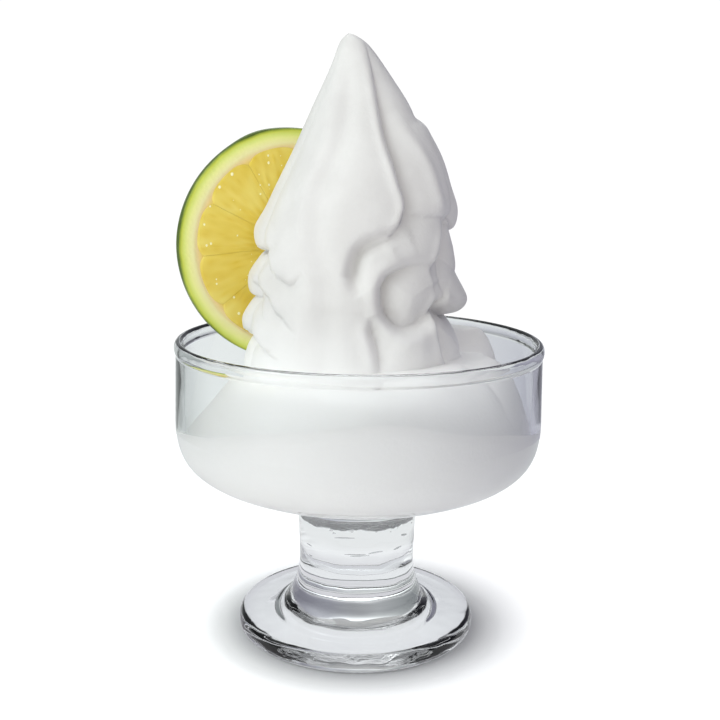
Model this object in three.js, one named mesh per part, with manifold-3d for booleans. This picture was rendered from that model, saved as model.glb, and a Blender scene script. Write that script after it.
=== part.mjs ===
// A footed glass cup of white sorbet, piped into a tall swirl, with a slice of lime stood against it.
// Millimetres, +Z up. The origin is the middle of the foot's underside, and the front faces -Y.
// A bearing goes round the cup in degrees: 0 at the front, 90 at the right (+X), 180 at the back.

import * as THREE from "three";
import { mergeVertices } from "three/addons/utils/BufferGeometryUtils.js";
import Module from "manifold-3d";

const wasm = await Module();
wasm.setup();

const GAP = 0.3; // between pieces that touch

// The glass cup
const CUP_SIDES = 56;
const RIM_HEIGHT = 81.0;
const RIM_RADIUS = 47.97; // to the middle of the rounded bead
const BEAD_WIDTH = 2.36;
const BEAD_HEIGHT = 3.8;
const WALL_OUTER_TOP = 48.7;
const WALL_OUTER = 49.12;
const WALL_INNER = 46.75;
const WALL_FOOT_HEIGHT = 59.5; // where the straight wall turns into the bowl's round underside
const BOWL_FLOOR = 39.8; // the hollow's lowest point
const BOWL_FLOOR_RADIUS = 20;
const NECK = { radius: 19.5, height: 37.4 }; // where the underside meets the stem
const STEM = { radius: 15.8, top: 31, waist: 20 };
const FOOT = { radius: 32.6, thickness: 5.2, flare: 20.2, flareHeight: 6.9 };
const REST = { inner: 22.4, outer: 30.6 }; // the flat ring that it stands on
const KICK_HEIGHT = 2.6; // the shallow hollow under the foot

// The sorbet in the bowl
const CONTACT = { mean: 60.3, front: 3.8, twice: 4.2, right: 0.8 }; // its height on the glass
const SWIRL_FOOT = { mean: 74.5, front: 2.4, right: 2.2 }; // where the mound meets the swirl
const MOUND_ROUNDNESS = { mean: 2.2, right: 1.1 }; // 1 is a straight slope, 3 a full shoulder
// At the right rear the mound stands higher, between two bearings, and ends steeply at the first.
const SHOULDER = { from: 108, over: 8, to: 190, fadeOver: 30, height: 6.6, roundness: 2.4 };

// The swirl: lobes side by side round it, in courses one above the other
const TIP = { x: -4.2, height: 159.3 };
const ROWS = { floor: 3, bowl: 8, mound: 7, courses: [5, 6, 6, 17] };
const COLUMNS_PER_LOBE = 8;
const BEARING_HEIGHTS = [82, 100, 116, 155];
const DEPTH_HEIGHTS = [80, 92, 104, 118, 150];
// Each valley between two lobes: its bearings at BEARING_HEIGHTS, its depths at DEPTH_HEIGHTS, and how
// far it spreads to its left and right, as a share of the lobe there.
const VALLEYS = [
  { at: [-28, -27, -22, -8], depth: [1.0, 1.0, 1.1, 1.2, 0.8], left: 0.22, right: 0.3 },
  { at: [10, 1, 32, 15], depth: [2.6, 0.6, 2.8, 3.4, 1.5], left: 0.05, right: 0.34 },
  { at: [56, 50, 70, 86], depth: [4.0, 0.8, 2.6, 1.9, 1.0], left: 0.08, right: 0.26 },
  { at: [98, 100, 108, 125], depth: [1.2, 2.0, 5.4, 3.6, 1.0], left: 0.42, right: 0.3 },
  { at: [141, 143, 148, 162], depth: [2.4, 2.6, 2.6, 2.6, 1.0], left: 0.16, right: 0.16 },
  { at: [188, 190, 195, 208], depth: [2.4, 2.6, 2.6, 2.6, 1.0], left: 0.16, right: 0.16 },
  { at: [238, 240, 244, 255], depth: [2.2, 2.4, 2.4, 2.4, 1.0], left: 0.16, right: 0.16 },
  { at: [290, 292, 294, 300], depth: [2.0, 2.2, 2.2, 1.0, 0.4], left: 0.18, right: 0.18 },
];
// Each hem is the wavy line where one course hangs over the next: its heights, and how far it hangs
// over, at each valley and at the middle of the lobe on its right, in turn.
const HEMS = [
  {
    height: [101.5, 99.4, 107, 115.2, 114, 110.6, 109.5, 106.5, 108, 104, 106.5, 103.5, 106.5, 105.2, 104.5, 98.4],
    hang: [0.3, 0.3, 3.2, 2.0, 1.8, 2.8, 2.4, 3.0, 2.2, 3.0, 2.2, 3.0, 2.4, 3.6, 1.6, 2.6],
  },
  {
    height: [90.5, 89.5, 94, 101.8, 104, 100, 99, 95, 96.5, 93, 95, 92.5, 94.5, 92.9, 93, 87.6],
    hang: [0.2, 0, 0.5, 4.4, 2.2, 0.7, 1.5, 2.8, 2.2, 2.8, 2.2, 2.8, 2.2, 3.0, 1.6, 2.6],
  },
  {
    height: [83.5, 83, 85.5, 88.4, 91, 89, 89, 86, 87, 83.5, 85.5, 83, 84.5, 81.6, 83.5, 80.4],
    hang: [0.2, 0, 0.3, 1.0, 3.6, 3.8, 2.5, 2.5, 2.0, 2.4, 2.0, 2.4, 1.8, 2.4, 1.4, 2.2],
  },
];
// Round a hem the surface dips, over the lip above it and the recess below. Higher up it bulges and
// droops, both as shares of the hang, at a height above the hem and over a height.
const HEM = { lip: 1.7, recess: 4.2 };
const BULGE = { share: 0.45, above: 4.5, over: 4 };
const DROOP = { share: 0.5, above: 1.8, over: 2.2 };
// The swirl without lobes and hems: a bell as wide as its radius, which it nears at about its reach
// below the tip, a swelling just under the tip, and sideways shifts of its middle.
const BELL = { radius: 30.2, reach: 38, fullness: 1.15 };
const BLUNT = { swelling: 3.4, start: 1.6, fade: 16 };
const LEAN = {
  whole: -0.6,
  tip: -3.0,
  tipFade: 6,
  belly: 2.2,
  bellyAt: 30,
  bellyOver: 14,
  foot: -1.2,
  footFrom: 55,
  footOver: 20,
};

// The lime slice: a whole wheel, upright, its face turned a little to the right
const SLICE = { radius: 31.6, thickness: 4.2, x: -19, y: 12, z: 104.3, turn: 19.5 };
const SEGMENTS = 10;
const STEPS_PER_SEGMENT = 5;
const CORE_RADIUS = 2.6;
const FLESH_RADIUS = 25.6;
const FLESH_SWELL = 0.35;
const RIND_ROUND = 0.9;
// How the slice presses the swirl: up to the hold the sorbet also grips it from behind, over the rise
// it gives way, and past the slice's edge the swirl comes back to its own shape over the fade.
const PRESS = { hold: 75, rise: 9, fade: 13, clear: 0.15 };

const radians = THREE.MathUtils.degToRad;
const lerp = THREE.MathUtils.lerp;

const glass = new THREE.MeshStandardMaterial({
  color: 0xe4e9ea,
  roughness: 0.05,
  metalness: 0,
  transparent: true,
  opacity: 0.35,
});
const sorbetWhite = new THREE.MeshStandardMaterial({ color: 0xf0f1f0, roughness: 0.55, metalness: 0 });
const limeFlesh = new THREE.MeshStandardMaterial({ color: 0xd4ba55, roughness: 0.4, metalness: 0 });

function point(radius, height) {
  return new THREE.Vector2(radius, height);
}

// Joins curves into one outline, each with its own number of steps.
function outline(pieces) {
  return pieces.flatMap(([curve, steps], i) => curve.getPoints(steps).slice(i ? 1 : 0));
}

function line(from, to) {
  return new THREE.LineCurve(from, to);
}

function bend(from, a, b, to) {
  return new THREE.CubicBezierCurve(from, a, b, to);
}

// The hollow's floor and rounded corner, from the axis out to the foot of the straight wall.
const bowlFloor = bend(
  point(0, BOWL_FLOOR),
  point(BOWL_FLOOR_RADIUS * 0.35, BOWL_FLOOR),
  point(BOWL_FLOOR_RADIUS * 0.7, BOWL_FLOOR + 0.46),
  point(BOWL_FLOOR_RADIUS, BOWL_FLOOR + 1.8),
);
const bowlCorner = bend(
  point(BOWL_FLOOR_RADIUS, BOWL_FLOOR + 1.8),
  point(40.5, 46.2),
  point(WALL_INNER, 46.5),
  point(WALL_INNER, WALL_FOOT_HEIGHT),
);

function reversed(curve) {
  return bend(curve.v3, curve.v2, curve.v1, curve.v0);
}

// One solid of revolution: foot, stem and bowl with its beaded rim.
function makeCup() {
  const bead = new THREE.EllipseCurve(
    RIM_RADIUS,
    RIM_HEIGHT - BEAD_HEIGHT / 2,
    BEAD_WIDTH / 2,
    BEAD_HEIGHT / 2,
    radians(-55),
    radians(200),
  );
  const footEdge = point(FOOT.radius, FOOT.thickness * 0.42);
  const footTop = point(REST.outer, FOOT.thickness);
  const flare = point(FOOT.flare, FOOT.flareHeight);
  const waist = point(STEM.radius, STEM.waist);
  const stemTop = point(STEM.radius + 0.4, STEM.top);
  const neck = point(NECK.radius, NECK.height);
  const wallFoot = point(WALL_OUTER, WALL_FOOT_HEIGHT);
  const wallTop = point(WALL_OUTER_TOP, RIM_HEIGHT - BEAD_HEIGHT);
  const innerWallFoot = point(WALL_INNER, WALL_FOOT_HEIGHT);
  const profile = outline([
    [line(point(0, KICK_HEIGHT), point(REST.inner - 3, KICK_HEIGHT * 0.85)), 1],
    [line(point(REST.inner - 3, KICK_HEIGHT * 0.85), point(REST.inner, 0)), 1],
    [line(point(REST.inner, 0), point(REST.outer, 0)), 1],
    [bend(point(REST.outer, 0), point(32, 0), point(FOOT.radius, 0.8), footEdge), 2],
    [bend(footEdge, point(FOOT.radius, 3.9), point(31.9, 5.1), footTop), 2],
    [bend(footTop, point(26, 5.7), point(22.5, 6), flare), 2],
    [bend(flare, point(18.6, 8.2), point(STEM.radius, 13), waist), 4],
    [line(waist, stemTop), 1],
    [bend(stemTop, point(16.3, 35), point(17, 36.6), neck), 2],
    [bend(neck, point(41.28, 44.26), point(WALL_OUTER, 44.81), wallFoot), 7],
    [line(wallFoot, wallTop), 1],
    [bead, 7],
    [line(bead.getPoint(1), innerWallFoot), 1],
    [reversed(bowlCorner), 6],
    [reversed(bowlFloor), 2],
  ]);
  const mesh = new THREE.Mesh(closedLathe(profile, CUP_SIDES), glass);
  mesh.name = "glass_cup";
  return mesh;
}

function closedLathe(profile, sides) {
  profile[0].x = 0;
  profile[profile.length - 1].x = 0;
  return new THREE.LatheGeometry(profile, sides).rotateX(Math.PI / 2);
}

function smooth(t) {
  return THREE.MathUtils.smoothstep(t, 0, 1);
}

// A value given at rising heights, straight between them and level beyond them.
function atHeight(heights, values, z) {
  if (z <= heights[0]) return values[0];
  const i = heights.findIndex((height) => z < height);
  if (i < 0) return values[values.length - 1];
  return lerp(values[i - 1], values[i], (z - heights[i - 1]) / (heights[i] - heights[i - 1]));
}

// A value given twice a lobe, at its left valley and at its middle, and smooth between.
function roundTheSwirl(values, column) {
  const place = column * 2;
  const i = Math.floor(place);
  const n = values.length;
  return lerp(values[((i % n) + n) % n], values[(((i + 1) % n) + n) % n], smooth(place - i));
}

// A column runs up the swirl in step with the valleys beside it: column 2.5 is always halfway between
// valleys 2 and 3, whose bearings change with the height.
function bearingOf(column, z) {
  const n = VALLEYS.length;
  const i = Math.floor(column);
  const left = atHeight(BEARING_HEIGHTS, VALLEYS[i % n].at, z);
  const right = atHeight(BEARING_HEIGHTS, VALLEYS[(i + 1) % n].at, z) + (i + 1 >= n ? 360 : 0);
  return radians(lerp(left, right, column - i));
}

function valleyDepth(column, z) {
  const n = VALLEYS.length;
  const i = Math.floor(column);
  const share = column - i;
  const left = VALLEYS[i % n];
  const right = VALLEYS[(i + 1) % n];
  return (
    atHeight(DEPTH_HEIGHTS, left.depth, z) * Math.exp(-share / left.right) +
    atHeight(DEPTH_HEIGHTS, right.depth, z) * Math.exp(-(1 - share) / right.left)
  );
}

// The swirl's radius without lobes and hems, at a depth below the tip.
function envelope(depth) {
  const bell = BELL.radius * Math.tanh((depth / BELL.reach) ** BELL.fullness);
  const swelling = BLUNT.swelling * (1 - Math.exp(-depth / BLUNT.start)) * Math.exp(-depth / BLUNT.fade);
  return bell + swelling;
}

// 1 at the middle, falling off smoothly over the width on both sides.
function hump(distance, width) {
  return Math.exp(-((distance / width) ** 2));
}

// The swirl leans a little: where its middle is, at a depth below the tip.
function middleX(depth) {
  const tip = LEAN.tip * Math.exp(-depth / LEAN.tipFade);
  const belly = LEAN.belly * hump(depth - LEAN.bellyAt, LEAN.bellyOver);
  return LEAN.whole + tip + belly + LEAN.foot * smooth((depth - LEAN.footFrom) / LEAN.footOver);
}

function swirlPoint(column, z) {
  const depth = TIP.height - z;
  let radius = envelope(depth);
  radius -= valleyDepth(column, z) * Math.min(1, radius / 14);
  let sink = 0;
  for (const hem of HEMS) {
    const above = z - roundTheSwirl(hem.height, column);
    const hang = roundTheSwirl(hem.hang, column);
    radius -= hang * (above > 0 ? Math.exp(-above / HEM.lip) : Math.exp(above / HEM.recess));
    radius += BULGE.share * hang * hump(above - BULGE.above, BULGE.over);
    sink += DROOP.share * hang * hump(above - DROOP.above, DROOP.over);
  }
  const bearing = bearingOf(column, z);
  return new THREE.Vector3(
    middleX(depth) + radius * Math.sin(bearing),
    -radius * Math.cos(bearing),
    z - sink,
  );
}

function contactHeight(bearing) {
  return (
    CONTACT.mean +
    CONTACT.front * Math.cos(bearing) +
    CONTACT.twice * Math.cos(2 * bearing) +
    CONTACT.right * Math.sin(bearing)
  );
}

// How much of the rear shoulder there is at a bearing, from 0 to 1.
function shoulder(bearing) {
  const degrees = (THREE.MathUtils.radToDeg(bearing) + 360) % 360;
  const rise = smooth((degrees - SHOULDER.from) / SHOULDER.over);
  return rise * smooth((SHOULDER.to - degrees) / SHOULDER.fadeOver);
}

function swirlFootHeight(bearing) {
  const level = SWIRL_FOOT.mean + SWIRL_FOOT.front * Math.cos(bearing) + SWIRL_FOOT.right * Math.sin(bearing);
  return level + SHOULDER.height * shoulder(bearing);
}

// The hollow's side as a path: 0 to 1 is the corner's curve, and 1 to 2 goes on up the wall.
function bowlSide(s) {
  if (s <= 1) return bowlCorner.getPoint(s);
  return point(WALL_INNER, lerp(WALL_FOOT_HEIGHT, RIM_HEIGHT, s - 1));
}

function bowlSideAt(height) {
  let low = 0;
  let high = 2;
  while (high - low > 1e-6) {
    const middle = (low + high) / 2;
    if (bowlSide(middle).y < height) low = middle;
    else high = middle;
  }
  return low;
}

// The frame of the slice: its middle, the direction across it, and the direction out of its back.
const sliceMiddle = new THREE.Vector3(SLICE.x, SLICE.y, SLICE.z);
const sliceTurn = radians(SLICE.turn);
const sliceAcross = new THREE.Vector3(Math.cos(sliceTurn), Math.sin(sliceTurn), 0);
const sliceBack = new THREE.Vector3(-Math.sin(sliceTurn), Math.cos(sliceTurn), 0);

// The slice stands pressed against the swirl, so no sorbet is left behind it above its hold.
function pressedBySlice(p) {
  const from = p.clone().sub(sliceMiddle);
  const behind = from.dot(sliceBack) + SLICE.thickness / 2 + GAP + PRESS.clear;
  if (behind <= 0) return p;
  const beyond = Math.hypot(from.dot(sliceAcross), from.z) - SLICE.radius;
  const press = smooth(1.1 - beyond / PRESS.fade) * smooth((p.z - PRESS.hold) / PRESS.rise);
  return p.addScaledVector(sliceBack, -behind * press);
}

// The sorbet's skin as rows of points, from the bowl's floor to just below the tip.
function sorbetRows() {
  const columns = VALLEYS.length * COLUMNS_PER_LOBE;
  const rows = [];
  const row = (place) => {
    rows.push(Array.from({ length: columns }, (_, i) => place(i / COLUMNS_PER_LOBE)));
  };
  const footOf = (column) => swirlPoint(column, swirlFootHeight(bearingOf(column, SWIRL_FOOT.mean)));
  const bearing = (column) => {
    const foot = footOf(column);
    return Math.atan2(foot.x, -foot.y);
  };
  const onBowl = (flat, angle) =>
    new THREE.Vector3((flat.x - GAP) * Math.sin(angle), -(flat.x - GAP) * Math.cos(angle), flat.y + GAP);
  const contactOf = (column) => {
    const angle = bearing(column);
    return onBowl(bowlSide(bowlSideAt(contactHeight(angle))), angle);
  };
  for (let j = 1; j <= ROWS.floor; j++) {
    row((column) => onBowl(bowlFloor.getPoint(j / ROWS.floor), bearing(column)));
  }
  for (let j = 1; j <= ROWS.bowl; j++) {
    row((column) => {
      const angle = bearing(column);
      return onBowl(bowlSide((bowlSideAt(contactHeight(angle)) * j) / ROWS.bowl), angle);
    });
  }
  for (let j = 1; j < ROWS.mound; j++) {
    row((column) => moundPoint(contactOf(column), footOf(column), j / ROWS.mound));
  }
  const levels = [
    (column) => swirlFootHeight(bearingOf(column, SWIRL_FOOT.mean)),
    (column) => roundTheSwirl(HEMS[2].height, column),
    (column) => roundTheSwirl(HEMS[1].height, column),
    (column) => roundTheSwirl(HEMS[0].height, column),
    () => TIP.height,
  ];
  ROWS.courses.forEach((steps, course) => {
    for (let j = 0; j < steps; j++) {
      const even = j / steps;
      const share = course === ROWS.courses.length - 1 ? 1 - (1 - even) ** 1.35 : even;
      row((column) =>
        pressedBySlice(swirlPoint(column, lerp(levels[course](column), levels[course + 1](column), share))),
      );
    }
  });
  return rows;
}

// The mound between the glass and the swirl, at a share of the way in.
function moundPoint(contact, foot, share) {
  const angle = Math.atan2(contact.x, -contact.y);
  const plain = MOUND_ROUNDNESS.mean + MOUND_ROUNDNESS.right * Math.sin(angle);
  const rise = 1 - (1 - share) ** (plain + SHOULDER.roundness * shoulder(angle));
  const p = contact.clone().lerp(foot, share);
  p.z = lerp(contact.z, foot.z, rise);
  return p;
}

// A closed skin over rows of points, with a point at each end.
function skin(rows, start, end) {
  const count = rows[0].length;
  const points = [start, ...rows.flat(), end];
  const at = (row, i) => 1 + row * count + (i % count);
  const faces = [];
  for (let i = 0; i < count; i++) {
    faces.push(0, at(0, i + 1), at(0, i));
    for (let row = 0; row + 1 < rows.length; row++) {
      faces.push(at(row, i), at(row, i + 1), at(row + 1, i + 1));
      faces.push(at(row, i), at(row + 1, i + 1), at(row + 1, i));
    }
    faces.push(at(rows.length - 1, i), at(rows.length - 1, i + 1), points.length - 1);
  }
  return new THREE.BufferGeometry().setFromPoints(points).setIndex(faces);
}

function toSolid(geometry) {
  const bare = new THREE.BufferGeometry().setAttribute("position", geometry.getAttribute("position"));
  const merged = mergeVertices(bare.setIndex(geometry.index), 1e-4);
  const vertProperties = merged.attributes.position.array;
  const triVerts = new Uint32Array(merged.index.array);
  return new wasm.Manifold(new wasm.Mesh({ numProp: 3, vertProperties, triVerts }));
}

function toGeometry(solid) {
  const mesh = solid.getMesh();
  return new THREE.BufferGeometry()
    .setAttribute("position", new THREE.BufferAttribute(mesh.vertProperties, 3))
    .setIndex(new THREE.BufferAttribute(mesh.triVerts, 1));
}

// One solid: the filling, its mound and the swirl, with the slot that the slice stands in.
function makeSorbet() {
  const body = skin(
    sorbetRows(),
    new THREE.Vector3(0, 0, BOWL_FLOOR + GAP),
    new THREE.Vector3(TIP.x, 0, TIP.height),
  );
  const slot = new THREE.CylinderGeometry(
    SLICE.radius + GAP,
    SLICE.radius + GAP,
    SLICE.thickness + 2 * GAP,
    SEGMENTS * STEPS_PER_SEGMENT,
  );
  slot.rotateZ(sliceTurn).translate(SLICE.x, SLICE.y, SLICE.z);
  const mesh = new THREE.Mesh(toGeometry(toSolid(body).subtract(toSolid(slot))), sorbetWhite);
  mesh.name = "sorbet";
  return mesh;
}

// The wheel of lime: flesh swelling between its membranes, a level band of pith, and a rounded rind.
function makeSlice() {
  const half = SLICE.thickness / 2;
  const face = [
    { radius: CORE_RADIUS, height: half, swell: 0 },
    { radius: CORE_RADIUS * 2, height: half, swell: 0.6 },
    { radius: FLESH_RADIUS * 0.6, height: half, swell: 1 },
    { radius: FLESH_RADIUS - 1.4, height: half, swell: 0.8 },
    { radius: FLESH_RADIUS, height: half, swell: 0 },
    { radius: SLICE.radius - RIND_ROUND, height: half, swell: 0 },
    { radius: SLICE.radius, height: half - RIND_ROUND, swell: 0 },
  ];
  const steps = SEGMENTS * STEPS_PER_SEGMENT;
  const ringOf = (ring, side) =>
    Array.from({ length: steps }, (_, i) => {
      const angle = (i / steps) * 2 * Math.PI;
      const inSegment = (i % STEPS_PER_SEGMENT) / STEPS_PER_SEGMENT;
      const height = ring.height - FLESH_SWELL * ring.swell * (1 - Math.sin(inSegment * Math.PI));
      return new THREE.Vector3(
        ring.radius * Math.cos(angle),
        side * height,
        ring.radius * Math.sin(angle),
      );
    });
  const backFace = face.map((ring) => ringOf(ring, 1));
  const frontFace = face.toReversed().map((ring) => ringOf(ring, -1));
  const middleOf = (side) => new THREE.Vector3(0, side * half, 0);
  const wheel = skin([...backFace, ...frontFace], middleOf(1), middleOf(-1));
  const mesh = new THREE.Mesh(wheel, limeFlesh);
  mesh.name = "lime_slice";
  mesh.position.copy(sliceMiddle);
  mesh.rotation.z = sliceTurn;
  return mesh;
}

const sorbetCup = new THREE.Group();
sorbetCup.add(makeCup(), makeSorbet(), makeSlice());
export default sorbetCup;
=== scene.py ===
"""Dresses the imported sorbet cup: pressed glass, white sorbet piped into a swirl, and a wheel of lime.

Sizes are millimetres until a mesh is finished, and metres from there on. +Z is up and -Y faces the
viewer. A bearing goes round the cup in degrees: 0 at the front, 90 at the right (+X), 180 at the back.
"""

import logging
import math
from dataclasses import dataclass
from enum import Enum
from typing import Callable

import bmesh
import bpy
import numpy as np
from mathutils import Matrix, Vector


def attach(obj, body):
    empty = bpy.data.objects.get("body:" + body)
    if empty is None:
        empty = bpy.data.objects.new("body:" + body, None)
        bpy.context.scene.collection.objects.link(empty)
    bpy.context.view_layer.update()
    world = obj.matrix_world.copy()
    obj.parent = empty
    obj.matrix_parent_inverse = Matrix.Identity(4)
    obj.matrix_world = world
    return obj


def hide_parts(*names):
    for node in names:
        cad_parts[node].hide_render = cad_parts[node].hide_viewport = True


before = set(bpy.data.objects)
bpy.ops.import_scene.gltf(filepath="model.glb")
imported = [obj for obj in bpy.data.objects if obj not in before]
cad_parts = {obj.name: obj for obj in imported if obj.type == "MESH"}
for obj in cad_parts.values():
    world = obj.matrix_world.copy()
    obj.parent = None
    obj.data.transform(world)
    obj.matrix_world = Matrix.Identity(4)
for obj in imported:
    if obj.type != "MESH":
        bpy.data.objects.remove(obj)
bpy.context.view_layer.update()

logging.basicConfig(level=logging.INFO, format="%(message)s")
LOG = logging.getLogger("sorbet_cup")

MM = 0.001
TURN = 2 * math.pi
IMAGE_SIDE = 720
SENSOR = 36.0

Colour = tuple[float, float, float]
Point2 = tuple[float, float]


# ---------------------------------------------------------------- shared tools


def smooth(t: np.ndarray | float) -> np.ndarray:
    """Return the smooth step from 0 at t = 0 to 1 at t = 1, level beyond both."""
    t = np.clip(t, 0.0, 1.0)
    return t * t * (3 - 2 * t)


def hump(distance: np.ndarray | float, width: float) -> np.ndarray:
    """Return 1 at no distance, falling off smoothly over the width on both sides."""
    return np.exp(-((np.asarray(distance) / width) ** 2))


def bend(start: Point2, pull_a: Point2, pull_b: Point2, end: Point2, steps: int) -> list[Point2]:
    """Sample a cubic curve that leaves its start towards one pull and nears its end from the other.

    Args:
        start: First point, as (radius, height).
        pull_a: First control point.
        pull_b: Second control point.
        end: Last point.
        steps: Number of stretches.

    Returns:
        The curve's points without the first, so that curves can be put end to end.
    """
    points = []
    for i in range(1, steps + 1):
        t = i / steps
        weights = ((1 - t) ** 3, 3 * t * (1 - t) ** 2, 3 * t * t * (1 - t), t**3)
        parts = (start, pull_a, pull_b, end)
        points.append(tuple(sum(w * p[axis] for w, p in zip(weights, parts)) for axis in (0, 1)))
    return points


def finish_mesh(bm: bmesh.types.BMesh, name: str, materials: list[bpy.types.Material]) -> bpy.types.Object:
    """Turn a bmesh in millimetres into a smooth-shaded object in metres at the origin.

    Args:
        bm: The finished mesh, which is freed.
        name: The piece's name.
        materials: The piece's materials, in the order of its faces' material indices.

    Returns:
        The new object, linked to the scene.
    """
    bmesh.ops.scale(bm, vec=(MM, MM, MM), verts=bm.verts[:])
    for face in bm.faces:
        face.smooth = True
    mesh = bpy.data.meshes.new(name)
    bm.to_mesh(mesh)
    bm.free()
    piece = bpy.data.objects.new(name, mesh)
    bpy.context.scene.collection.objects.link(piece)
    for material in materials:
        mesh.materials.append(material)
    return piece


def place_vertices(bm: bmesh.types.BMesh, place: Callable[[np.ndarray], np.ndarray]) -> None:
    """Move all vertices of a bmesh at once.

    Args:
        bm: The mesh to reshape.
        place: Takes the vertices' places as an array of rows and returns their new places.
    """
    old = np.array([vert.co for vert in bm.verts])
    for vert, co in zip(bm.verts, place(old)):
        vert.co = co


def close_grid(bm: bmesh.types.BMesh, reach: float) -> None:
    """Merge a wrapped grid's seam and poles, and turn its faces outwards."""
    bmesh.ops.remove_doubles(bm, verts=bm.verts[:], dist=reach)
    bmesh.ops.recalc_face_normals(bm, faces=bm.faces[:])


class Recipe:
    """The node tree of a material or a world, with short ways to add nodes and to join them."""

    def __init__(self, owner: bpy.types.Material | bpy.types.World) -> None:
        """Start with an empty tree."""
        self.owner = owner
        owner.use_nodes = True
        self.tree = owner.node_tree
        self.tree.nodes.clear()

    @classmethod
    def material(cls, name: str) -> "Recipe":
        """Start a new material of that name."""
        return cls(bpy.data.materials.new(name))

    def add(self, kind: str, inputs: dict | None = None, **settings: object) -> bpy.types.Node:
        """Add a node.

        Args:
            kind: The node's type, without its ShaderNode prefix.
            inputs: Values or sockets for its inputs, by name or number.
            settings: The node's own settings.

        Returns:
            The node.
        """
        node = self.tree.nodes.new("ShaderNode" + kind)
        for key, value in settings.items():
            setattr(node, key, value)
        for key, value in (inputs or {}).items():
            if isinstance(value, bpy.types.NodeSocket):
                self.tree.links.new(value, node.inputs[key])
            else:
                node.inputs[key].default_value = value
        return node

    def math(self, operation: str, a: object, b: object = 0.0) -> bpy.types.NodeSocket:
        """Add a Math node and return its result."""
        return self.add("Math", {0: a, 1: b}, operation=operation).outputs[0]

    def ramp(self, value: bpy.types.NodeSocket, stops: list[tuple[float, Colour]]) -> bpy.types.NodeSocket:
        """Add a colour ramp.

        Args:
            value: What the ramp reads.
            stops: Each stop's place from 0 to 1, and its colour.

        Returns:
            The ramp's colour.
        """
        node = self.add("ValToRGB", {0: value})
        elements = node.color_ramp.elements
        while len(elements) < len(stops):
            elements.new(0.5)
        for element, (place, colour) in zip(elements, stops):
            element.position = place
            element.color = (*colour, 1.0)
        return node.outputs[0]

    def close(self, shader: bpy.types.Node) -> bpy.types.Material | bpy.types.World:
        """Join the shader to the output and return the finished material or world."""
        kind = "OutputWorld" if isinstance(self.owner, bpy.types.World) else "OutputMaterial"
        self.add(kind, {"Surface": shader.outputs[0]})
        return self.owner


def srgb(red: int, green: int, blue: int) -> Colour:
    """Return a screen colour, each channel from 0 to 255, as linear values."""
    shares = (channel / 255 for channel in (red, green, blue))
    return tuple(s / 12.92 if s <= 0.04045 else ((s + 0.055) / 1.055) ** 2.4 for s in shares)


@dataclass(frozen=True)
class WheelPlace:
    """The size of the wheel of lime, and where it stands: its face is upright, turned about Z."""

    radius: float = 31.6
    thickness: float = 4.2
    middle: tuple[float, float, float] = (-18.91, 12.0, 104.3)
    turn: float = math.radians(19.5)

    def matrix(self) -> Matrix:
        """Return the turn and move from the wheel's own frame, with Y along its axis, to the cup's."""
        return Matrix.Translation(self.middle) @ Matrix.Rotation(self.turn, 4, "Z")


# -------------------------------------------------------------------- finishes


@dataclass(frozen=True)
class ClearGlass:
    """Clear pressed glass with the faint waves that a mould leaves."""

    name: str
    bending: float
    tint: Colour = (0.985, 0.993, 0.992)
    wave_scale: float = 70.0
    wave_height: float = 0.05

    def material(self) -> bpy.types.Material:
        """Build the glass."""
        recipe = Recipe.material(self.name)
        place = recipe.add("TexCoord").outputs["Object"]
        waves = recipe.add("TexNoise", {"Vector": place, "Scale": self.wave_scale, "Detail": 1.0})
        bump = recipe.add(
            "Bump", {"Height": waves.outputs[0], "Strength": self.wave_height, "Distance": 0.002}
        )
        return recipe.close(
            recipe.add(
                "BsdfPrincipled",
                {
                    "Base Color": (*self.tint, 1.0),
                    "Roughness": 0.0,
                    "IOR": self.bending,
                    "Transmission Weight": 1.0,
                    "Normal": bump.outputs[0],
                },
            )
        )


FOOT_GLASS = ClearGlass("clear_glass", 1.5, wave_scale=110.0, wave_height=0.14)
BOWL_GLASS = ClearGlass("bowl_glass", 1.33)


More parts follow.
